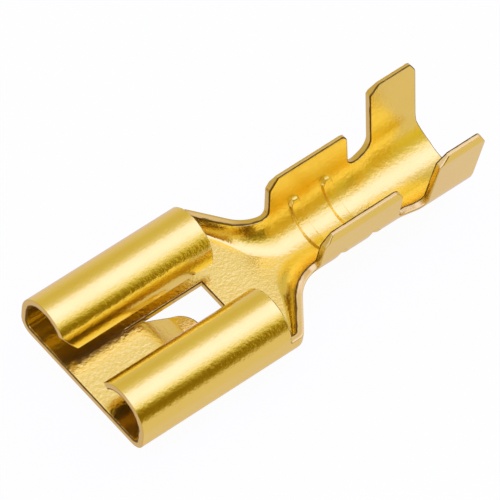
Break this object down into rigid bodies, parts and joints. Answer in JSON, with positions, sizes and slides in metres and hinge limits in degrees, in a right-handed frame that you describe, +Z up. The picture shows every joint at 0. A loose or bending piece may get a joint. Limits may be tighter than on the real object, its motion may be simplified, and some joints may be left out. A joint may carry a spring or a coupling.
{
  "type": "female spade terminal",
  "caption": "Bare brass push-on receptacle for a flat tab, folded from one sheet, with a locking tongue and open crimp barrels for the wire and its insulation.",
  "frame": {"origin": "centre of the footprint, on the plane under the locking tongue, the part's lowest point", "axes": "+Y along the length from the tab's mouth to the wire's end, +Z up out of the open barrels, +X across the width"},
  "size_m": [0.0076, 0.0188, 0.0056],
  "materials": {
    "brass": "polished"
  },
  "bodies": {
    "root": {"terminal_body": "brass"}
  },
  "joints": []
}
